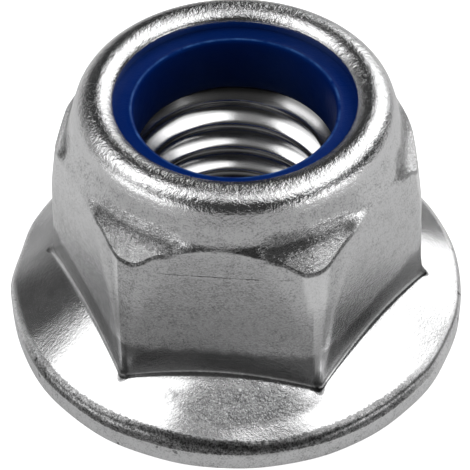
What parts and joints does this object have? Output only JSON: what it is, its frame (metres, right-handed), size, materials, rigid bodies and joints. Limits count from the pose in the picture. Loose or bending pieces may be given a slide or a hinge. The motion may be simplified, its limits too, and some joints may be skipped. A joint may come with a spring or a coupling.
{
  "type": "serrated flange nut",
  "caption": "Hexagon flange nut with a serrated bearing face and a plastic locking ring held in a rolled collar.",
  "frame": {"origin": "centre of the serrated bearing face, on the thread axis", "axes": "+Z along the thread axis from the bearing face to the collar; two flats of the hexagon face +Y and -Y"},
  "size_m": [0.0178, 0.0178, 0.0108],
  "materials": {
    "steel": "bright cold-formed stainless steel with fine forming marks, a satin skin and a tool-marked lip",
    "blue_ring": "deep blue moulded plastic with a soft sheen and a lighter worn edge at its bore"
  },
  "bodies": {
    "root": {"nut_body": "steel", "locking_ring": "blue_ring"}
  },
  "joints": []
}
